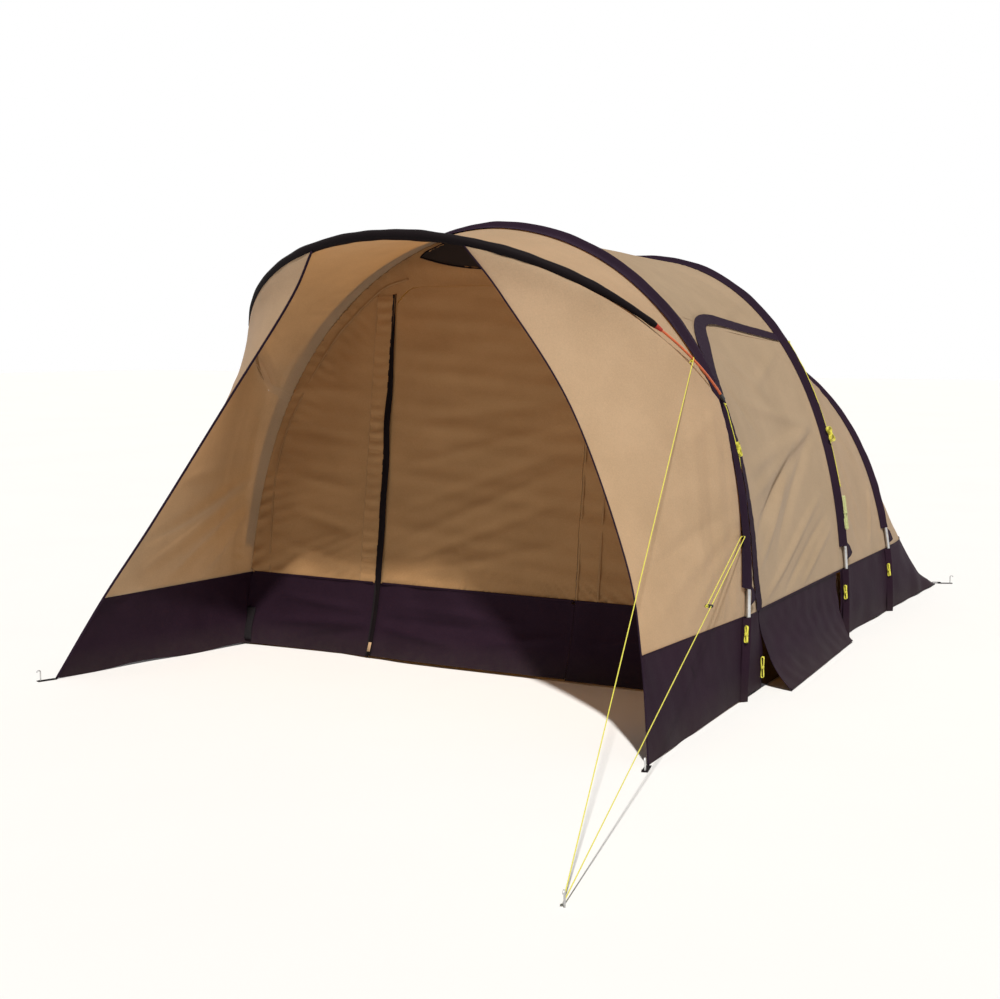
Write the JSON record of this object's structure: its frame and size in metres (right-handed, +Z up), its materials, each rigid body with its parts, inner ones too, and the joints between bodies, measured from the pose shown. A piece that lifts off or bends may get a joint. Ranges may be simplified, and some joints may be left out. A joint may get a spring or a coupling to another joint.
{
  "type": "camping tent",
  "caption": "Tunnel tent of beige cotton over bent poles with dark mud walls, a hooped porch over an arched zip door, hinged side doors, a low sloping tail, a bedroom and guy lines.",
  "frame": {"origin": "on the ground, on the middle plane, halfway between the front arch's feet and the tail's rear edge", "axes": "-Y towards the porch's front, +Y towards the tail, +X towards the side with the guy lines, +Z up"},
  "size_m": [3.6703, 6.8894, 2.2048],
  "materials": {
    "cotton": "beige woven cotton, matt, slightly translucent",
    "mud_cloth": "dark aubergine coated cloth, low sheen",
    "sleeve_cloth": "dark purple woven cloth, matt",
    "hoop_sleeve_cloth": "black coated cloth tube",
    "steel": "grey galvanised tube and wire",
    "rod": "orange-red glass-fibre rod",
    "mesh": "fine black insect mesh",
    "floor_cloth": "dark coated groundsheet",
    "inner_cloth": "light thin bedroom cloth",
    "black_plastic": "black moulded plastic",
    "rope": "braided yellow-green line",
    "webbing": "black woven webbing"
  },
  "bodies": {
    "tent": {"bay_one_roof": "cotton", "bay_two_skin": "cotton", "door_foot_hank": "rope", "floor": "floor_cloth", "front_corner_peg_left": "steel", "front_corner_peg_right": "steel", "front_corner_strap_left": "webbing", "front_corner_strap_right": "webbing", "front_foot_hank": "rope", "front_hank": "rope", "front_hank_line": "rope", "front_mud_wall_left": "mud_cloth", "front_mud_wall_right": "mud_cloth", "front_pole": "steel", "front_pole_pocket_left": "mud_cloth", "front_pole_pocket_right": "mud_cloth", "front_sleeve": "sleeve_cloth", "front_vent_mesh": "mesh", "front_wall": "cotton", "front_wall_mud_strip_left": "mud_cloth", "front_wall_mud_strip_right": "mud_cloth", "guy_line_lower": "rope", "guy_line_upper": "rope", "guy_peg": "steel", "guy_runner": "black_plastic", "guy_tab": "sleeve_cloth", "hoop_eye_left": "black_plastic", "hoop_eye_right": "black_plastic", "hoop_rod": "rod", "hoop_sleeve": "hoop_sleeve_cloth", "inner_tent": "inner_cloth", "middle_foot_hank": "rope", "middle_hank": "rope", "middle_hank_line": "rope", "middle_long_hank": "rope", "middle_pole": "steel", "middle_pole_pocket_left": "mud_cloth", "middle_pole_pocket_right": "mud_cloth", "middle_sleeve": "sleeve_cloth", "porch_canopy": "cotton", "porch_wing_left": "cotton", "porch_wing_right": "cotton", "rear_corner_peg_right": "steel", "rear_corner_strap_right": "webbing", "rear_foot_hank": "rope", "rear_mud_wall": "mud_cloth", "rear_pole": "steel", "rear_pole_pocket_left": "mud_cloth", "rear_pole_pocket_right": "mud_cloth", "rear_sleeve": "sleeve_cloth", "tail_skin": "cotton"},
    "front_door": {"front_door_leaf": "cotton", "front_door_mud_flap": "mud_cloth"},
    "front_slider": {"front_zip_slider": "black_plastic"},
    "right_door": {"side_door_right": "cotton", "side_door_mud_flap_right": "mud_cloth", "side_door_zip_cover_right": "sleeve_cloth"},
    "left_door": {"side_door_left": "cotton", "side_door_mud_flap_left": "mud_cloth", "side_door_zip_cover_left": "sleeve_cloth"}
  },
  "joints": [
    {"name": "front_door_hinge", "type": "hinge", "parent": "tent", "child": "front_door", "pos_m": [0.56, -2.025, 0], "axis": [0, 0.1219, 0.9925], "range_deg": [0, 75]},
    {"name": "front_zip_slide", "type": "slide", "parent": "front_door", "child": "front_slider", "axis": [0, 0.1219, 0.9925], "range_m": [0, 1.55]},
    {"name": "right_door_hinge", "type": "hinge", "parent": "tent", "child": "right_door", "pos_m": [1.5012, -0.2881, 0], "axis": [-0.2891, 0, 0.9573], "range_deg": [0, 80]},
    {"name": "left_door_hinge", "type": "hinge", "parent": "tent", "child": "left_door", "pos_m": [-1.5012, -0.2881, 0], "axis": [-0.2891, 0, -0.9573], "range_deg": [0, 80]}
  ]
}
